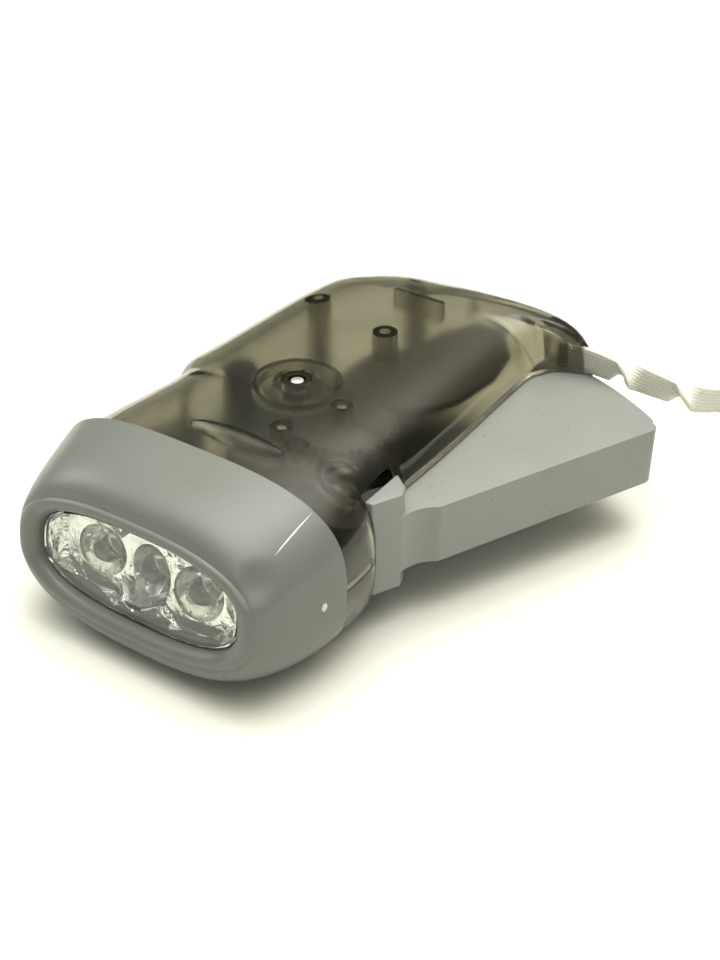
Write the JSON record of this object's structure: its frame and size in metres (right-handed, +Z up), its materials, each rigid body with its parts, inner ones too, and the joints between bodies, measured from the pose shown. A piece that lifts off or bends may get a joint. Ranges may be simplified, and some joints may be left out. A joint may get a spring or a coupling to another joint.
{
  "type": "squeeze dynamo torch",
  "caption": "Hand-squeezed dynamo torch with a row of lamps behind a clear window, a see-through smoke body, a side squeeze lever driving a gear train and a wrist strap.",
  "frame": {"origin": "on the flat underside, on the centre line of the body, 48 mm behind the lamp window", "axes": "-Y out of the lamp window, +X towards the squeeze lever, +Z up from the table the torch lies on"},
  "size_m": [0.1494, 0.1208, 0.033],
  "materials": {
    "grey_abs": "satin moulded",
    "smoke_shell": "polished, see-through",
    "clear_window": "polished, clear",
    "bright_metallised": "vacuum metallised plastic",
    "clear_epoxy": "cast, clear",
    "green_laminate": "glass fibre laminate with lacquer",
    "black_acetal": "moulded",
    "turned_steel": "turned",
    "zinc_casting": "die cast zinc",
    "ferrite": "sintered ferrite",
    "rolled_iron": "pressed sheet",
    "copper_winding": "enamelled copper wire",
    "bronze_bush": "oiled bronze",
    "cell_steel": "nickel plated",
    "blue_sleeve": "shrink sleeve",
    "woven_nylon": "woven tape"
  },
  "bodies": {
    "housing": {"head_moulding": "grey_abs", "lens_window": "clear_window", "reflector": "bright_metallised", "led_1": "clear_epoxy", "led_2": "clear_epoxy", "led_3": "clear_epoxy", "led_board": "green_laminate", "upper_shell": "smoke_shell", "lower_shell": "smoke_shell", "lever_pivot_pin": "turned_steel", "lever_spring": "turned_steel", "first_gear_axle": "turned_steel", "second_gear_axle": "turned_steel", "upper_yoke": "rolled_iron", "lower_yoke": "rolled_iron", "coil_bobbin": "black_acetal", "coil_winding": "copper_winding", "upper_bush": "bronze_bush", "lower_bush": "bronze_bush", "shell_screw_1": "turned_steel", "shell_screw_2": "turned_steel", "shell_screw_3": "turned_steel", "coin_cell": "cell_steel", "control_board": "green_laminate", "storage_capacitor": "blue_sleeve", "driver_chip": "black_acetal", "switch_body": "black_acetal", "wrist_strap": "woven_nylon"},
    "lever": {"squeeze_lever": "grey_abs"},
    "first_gear": {"first_gear": "black_acetal"},
    "second_gear": {"second_gear": "black_acetal"},
    "rotor": {"rotor_shaft": "turned_steel", "rotor_pinion": "black_acetal", "flywheel": "zinc_casting", "ring_magnet": "ferrite"},
    "switch": {"switch_slider": "grey_abs"}
  },
  "joints": [
    {"name": "lever_squeeze", "type": "hinge", "parent": "housing", "child": "lever", "pos_m": [0.0217, -0.0205, 0.0163], "axis": [0, 0, 1], "range_deg": [0, 23], "stiffness_Nm_per_rad": 0.08, "springref_deg": -34.38},
    {"name": "first_gear_turn", "type": "hinge", "parent": "housing", "child": "first_gear", "pos_m": [0.00647, -0.0165, 0.0163], "axis": [0, 0, 1], "range_deg": [-96, 1]},
    {"name": "second_gear_turn", "type": "hinge", "parent": "housing", "child": "second_gear", "pos_m": [0.01103, -0.00541, 0.0163], "axis": [0, 0, 1], "range_deg": [-2, 330]},
    {"name": "rotor_spin", "type": "hinge", "parent": "housing", "child": "rotor", "pos_m": [0, -0.0032, 0.0163], "axis": [0, 0, 1], "range_deg": [-1290, 5]},
    {"name": "switch_slide", "type": "slide", "parent": "housing", "child": "switch", "axis": [0, 1, 0], "range_m": [0, 0.002]}
  ],
  "couplings": [
    {"joint": "first_gear_turn", "follows": "lever_squeeze", "ratio": -4},
    {"joint": "second_gear_turn", "follows": "lever_squeeze", "ratio": 13.778},
    {"joint": "rotor_spin", "follows": "lever_squeeze", "ratio": -55.111}
  ]
}
